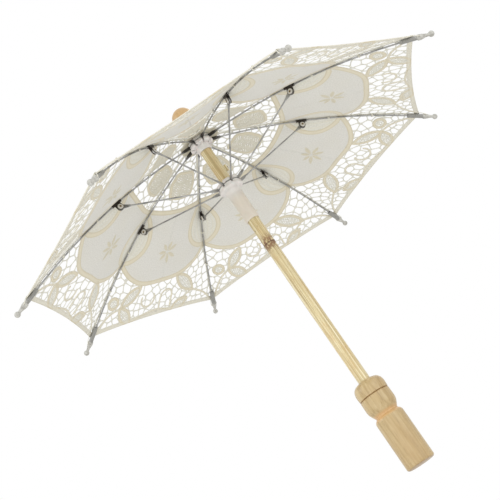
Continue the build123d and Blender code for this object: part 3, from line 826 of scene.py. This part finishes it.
def add_attribute(mesh, name, kind, field, values):
    """A point attribute on the mesh from an array."""
    attribute = mesh.attributes.new(name, kind, "POINT")
    attribute.data.foreach_set(field, np.asarray(values, np.float32).ravel())


def add_thickness(piece, thick, whole):
    """Gives the open sheet its thickness, whole times each point's share."""
    steps = 16
    group = piece.vertex_groups.new(name="thickness")
    level = np.clip(np.round(thick / thick.max() * steps), 1, steps).astype(int)
    for value in range(1, steps + 1):
        chosen = np.flatnonzero(level == value)
        if len(chosen):
            group.add(chosen.tolist(), value / steps, "REPLACE")
    solid = piece.modifiers.new("thickness", "SOLIDIFY")
    solid.thickness = whole
    solid.offset = 0
    solid.vertex_group = "thickness"


def new_piece(name, mesh, material):
    """An object for a finished mesh, shaded smooth."""
    mesh.shade_smooth()
    mesh.materials.append(material)
    piece = bpy.data.objects.new(name, mesh)
    bpy.context.scene.collection.objects.link(piece)
    return piece


BEND_AT = (100.0, 270.0)               # radius and height of a point of the line where the lace bends


def make_canopy(material):
    """Sixteen half gores of one continuous lace, made in place of the CAD half gores."""
    rng = np.random.default_rng(8)
    seeds = net_seeds(rng)
    for number in range(1, RIBS + 1):
        layout = gore_layout(rng)
        for letter, side in (("a", -1), ("b", 1)):
            node = f"gore_{number}_half_{letter}"
            name = f"lace_{number}_{letter}"
            mesh, thick = half_gore_mesh(name, number, side, layout, seeds)
            piece = new_piece(name, mesh, material)
            add_thickness(piece, thick, LACE_THICK * MM)
            rib = number if side < 0 else number % RIBS + 1
            azimuth = math.radians((rib - 1) * STEP)
            edge = Vector((math.cos(azimuth), math.sin(azimuth), 0)) * BEND_AT[0] * MM
            edge.z = BEND_AT[1] * MM
            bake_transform(piece)
            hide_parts(node)


# ---------------------------------------------------------------------------------------------
# Sewing: what ties the lace to the ribs and tips, and the pleated rosette under the knob
# ---------------------------------------------------------------------------------------------

SEWN_AT = (52.0, 104.0, 141.0)         # radii of the stitches that tie the lace to a rib
STRAND = 0.24                          # half the width of the sewing thread
HOLE_AT = (182.6, 236.5)               # radius and height of the thread hole in a tip
BALL_AT = (190.0, 232.5)               # the same for the middle of a tip's ball
TIP_SLOPE = 28.5                       # degrees that a tip points below level
RIB_HALF = 0.6                         # half the thickness of a rib's wire

# The socket of a tip: distance from the ball's middle, half its width, half its height.
SOCKET = ((9.9, 1.0, 0.9), (10.1, 1.95, 1.5), (11.5, 2.15, 1.55), (14.0, 2.1, 1.55),
          (18.0, 2.05, 1.55), (22.9, 2.0, 1.52), (23.5, 1.8, 1.4), (23.7, 1.3, 1.1),
          (23.2, 0.68, 0.68))

ROSETTE_HOLE = 6.65                    # radius of the rosette's hole
ROSETTE_HELD = 8.2                     # radius to which the knob holds it flat
ROSETTE_PLEATS = 16
ROSETTE_THICK = 0.4


def rib_height(radius):
    """Height of a rib's centre line, in millimetres, read off the CAD rib towards +X."""
    points = np.array([v.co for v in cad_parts["rib_1"].data.vertices]) / MM
    bowed = points[(points[:, 0] > 20) & (points[:, 0] < 165)]
    return float(np.polyval(np.polyfit(bowed[:, 0] - 90, bowed[:, 2], 4), radius - 90))


def lace_height(radius):
    """Height of the lace over a rib, in millimetres."""
    return float(arc_height(radius, CLOTH_INNER, CLOTH_OUTER, CLOTH_TOP, CLOTH_LOW, RIB_BOW))


def closed_tube(path, half, sides=7):
    """Vertices and faces of a round thread along a closed path."""
    ahead = np.roll(path, -1, axis=0) - np.roll(path, 1, axis=0)
    ahead /= np.linalg.norm(ahead, axis=1)[:, None]
    side = np.cross(ahead, path.mean(0) - path)
    side /= np.linalg.norm(side, axis=1)[:, None]
    other = np.cross(ahead, side)
    angle = np.linspace(0, 2 * np.pi, sides, endpoint=False)[None, :, None]
    verts = path[:, None] + half * (np.cos(angle) * side[:, None] + np.sin(angle) * other[:, None])
    count = len(path)
    faces = [(i * sides + j, (i + 1) % count * sides + j, (i + 1) % count * sides + (j + 1) % sides,
              i * sides + (j + 1) % sides) for i in range(count) for j in range(sides)]
    return verts.reshape(-1, 3), faces


def thread_piece(name, paths, material, azimuth):
    """One piece of several closed threads, given as (radius, sideways, height) points beside rib 1."""
    verts, faces = [], []
    for path in paths:
        ring, quads = closed_tube(np.array(path), STRAND)
        base = sum(len(v) for v in verts)
        verts.append(ring)
        faces += [tuple(base + i for i in quad) for quad in quads]
    turn = np.array(Matrix.Rotation(math.radians(azimuth), 3, "Z"))
    mesh = bpy.data.meshes.new(name)
    mesh.from_pydata((np.vstack(verts) @ turn.T * MM).tolist(), [], faces)
    return new_piece(name, mesh, material)


def stitch_paths(radius, rng):
    """Three turns of thread round the rib and through the lace over it."""
    low = rib_height(radius) - RIB_HALF - STRAND
    high = lace_height(radius) + 0.5
    angle = np.linspace(0, 2 * np.pi, 24, endpoint=False)
    paths = []
    for turn in (-0.55, 0.0, 0.55):
        lean = rng.normal(0, 0.12)
        along = radius + turn + lean * np.sin(angle)
        up = (low + high) / 2 + (high - low) / 2 * np.cos(angle)
        paths.append(np.column_stack([along, 0.95 * np.sin(angle), up]))
    return paths


def corner_paths():
    """Thread from the lace's corner through the hole in the tip, drawn tight both ways."""
    radius, height = HOLE_AT
    corner = CLOTH_OUTER - 1.4
    top = lace_height(corner) + 0.55
    loops = []
    for shift in (-0.25, 0.3):
        half_loop = [(radius + shift, 0.0, height), (radius + shift, 2.55, height + 0.1),
                     (radius - 1.9, 2.1, height + 3.0), (corner + shift, 0.7, top)]
        other = [(r, -y, z) for r, y, z in half_loop[:0:-1]]
        loops.append(smooth_line(half_loop + other, closed=True)[:-1])
    return loops


def make_sewing(material):
    """The threads of every rib."""
    rng = np.random.default_rng(21)
    for number in range(1, RIBS + 1):
        paths = []
        for radius in SEWN_AT:
            paths += stitch_paths(radius + rng.normal(0, 1.5), rng)
        azimuth = (number - 1) * STEP
        piece = thread_piece(f"stitches_{number}", paths + corner_paths(), material, azimuth)
        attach(piece, f"rib_{number}")


def make_sockets(material):
    """The flattened socket of each tip, pressed over the rib's end under the lace's corner."""
    sides = 20
    angle = np.linspace(0, 2 * np.pi, sides, endpoint=False)
    slope = math.radians(TIP_SLOPE)
    inward = (-math.cos(slope), math.sin(slope))
    upward = (math.sin(slope), math.cos(slope))
    verts = []
    for distance, wide, tall in SOCKET:
        up = tall * np.sin(angle)
        radius = BALL_AT[0] + distance * inward[0] + up * upward[0]
        height = BALL_AT[1] + distance * inward[1] + up * upward[1]
        verts.append(np.column_stack([radius, wide * np.cos(angle), height]))
    faces = [(i * sides + j, i * sides + (j + 1) % sides, (i + 1) * sides + (j + 1) % sides,
              (i + 1) * sides + j) for i in range(len(SOCKET) - 1) for j in range(sides)]
    last = (len(SOCKET) - 1) * sides
    faces += [tuple(range(sides))[::-1], tuple(range(last, last + sides))]
    for number in range(1, RIBS + 1):
        turn = np.array(Matrix.Rotation(math.radians((number - 1) * STEP), 3, "Z"))
        mesh = bpy.data.meshes.new(f"tip_socket_{number}")
        mesh.from_pydata((np.vstack(verts) @ turn.T * MM).tolist(), [], faces)
        mesh.validate()
        piece = new_piece(f"tip_socket_{number}", mesh, material)
        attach(piece, f"rib_{number}")


def make_rosette(material):
    """The pleated washer of cloth between canopy and knob."""
    low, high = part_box("rosette")
    inner, outer = ROSETTE_HOLE, high[0] / MM + 0.4
    base = (low[2] + high[2]) / 2 / MM
    rings, spokes = 14, 192
    radius = np.linspace(inner, outer, rings)[:, None]
    angle = np.linspace(0, 2 * np.pi, spokes, endpoint=False)[None, :]
    free = np.clip((radius - ROSETTE_HELD) / (outer - ROSETTE_HELD), 0, 1)
    wave = 0.75 * np.cos(angle * ROSETTE_PLEATS) + 0.2 * np.sin(angle * 5)
    height = base + free * (wave + 0.35)
    reach = radius + free * 0.35 * np.cos(angle * ROSETTE_PLEATS * 2)
    verts = np.stack([reach * np.cos(angle), reach * np.sin(angle), height], -1).reshape(-1, 3) * MM
    faces = [(i * spokes + j, (i + 1) * spokes + j, (i + 1) * spokes + (j + 1) % spokes,
              i * spokes + (j + 1) % spokes) for i in range(rings - 1) for j in range(spokes)]
    mesh = bpy.data.meshes.new("pleated_rosette")
    mesh.from_pydata(verts.tolist(), [], faces)
    add_attribute(mesh, "plan", "FLOAT_VECTOR", "vector", verts / MM)
    taped = np.repeat(np.clip((radius[:, 0] - outer + 1.6) / 0.8, 0, 1), spokes)
    zero = np.zeros(len(taped))
    colour = np.column_stack([taped, 1 - taped, zero, zero + 1])
    add_attribute(mesh, "lace_part", "FLOAT_COLOR", "color", colour)
    add_attribute(mesh, "tape_edge", "FLOAT", "value", taped * 0.5)
    piece = new_piece("pleated_rosette", mesh, material)
    solid = piece.modifiers.new("thickness", "SOLIDIFY")
    solid.thickness = ROSETTE_THICK * MM
    solid.offset = 0
    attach(piece, "stick")
    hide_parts("rosette")


# ---------------------------------------------------------------------------------------------
# The whole parasol
# ---------------------------------------------------------------------------------------------


def paint(material, *nodes):
    """Gives CAD nodes a material."""
    for name in nodes:
        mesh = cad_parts[name].data
        mesh.materials.clear()
        mesh.materials.append(material)


def paint_frame(tips):
    """Materials of the rigid parts; tips is the one for the tips."""
    wood = wood_material()
    cane = bamboo_material()
    milk = plastic_material()
    drawn = (0.1, 0.1, 0.1)
    wire = metal_material("stretcher_steel", srgb(118, 118, 116), srgb(190, 190, 188), 0.26,
                          streak=drawn, rust=0.3)
    steel = metal_material("rib_steel", srgb(118, 118, 116), srgb(182, 182, 180), 0.26,
                           streak=drawn, rust=0.3, darker_within=RIBS_DARKER_WITHIN)
    tin = metal_material("tinned_wire", srgb(128, 126, 120), srgb(196, 194, 188), 0.25, rust=0.2)
    spring = metal_material("spring_steel", srgb(100, 98, 96), srgb(170, 168, 165), 0.28,
                            streak=(1, 1, 0.1), rust=0.15)
    nail = metal_material("nail_steel", srgb(46, 40, 36), srgb(104, 92, 82), 0.34, rust=0.6)
    paint(wood, "handle", "ferrule")
    paint(cane, "shaft", "stop_block")
    paint(milk, "notch", "runner")
    paint(tin, "notch_wire", "runner_wire")
    paint(spring, "catch_spring")
    paint(nail, "stop_nail")
    sets = {"rib_joint": ear_material(), "rib": steel, "stretcher": wire, "tip": tips}
    for kind, material in sets.items():
        paint(material, *[f"{kind}_{k}" for k in range(1, RIBS + 1)])


make_camera()
make_studio()
tip_plastic = tip_material()
paint_frame(tip_plastic)
make_sockets(tip_plastic)
lace = lace_material()
make_canopy(lace)
make_rosette(lace)
make_sewing(thread_material())
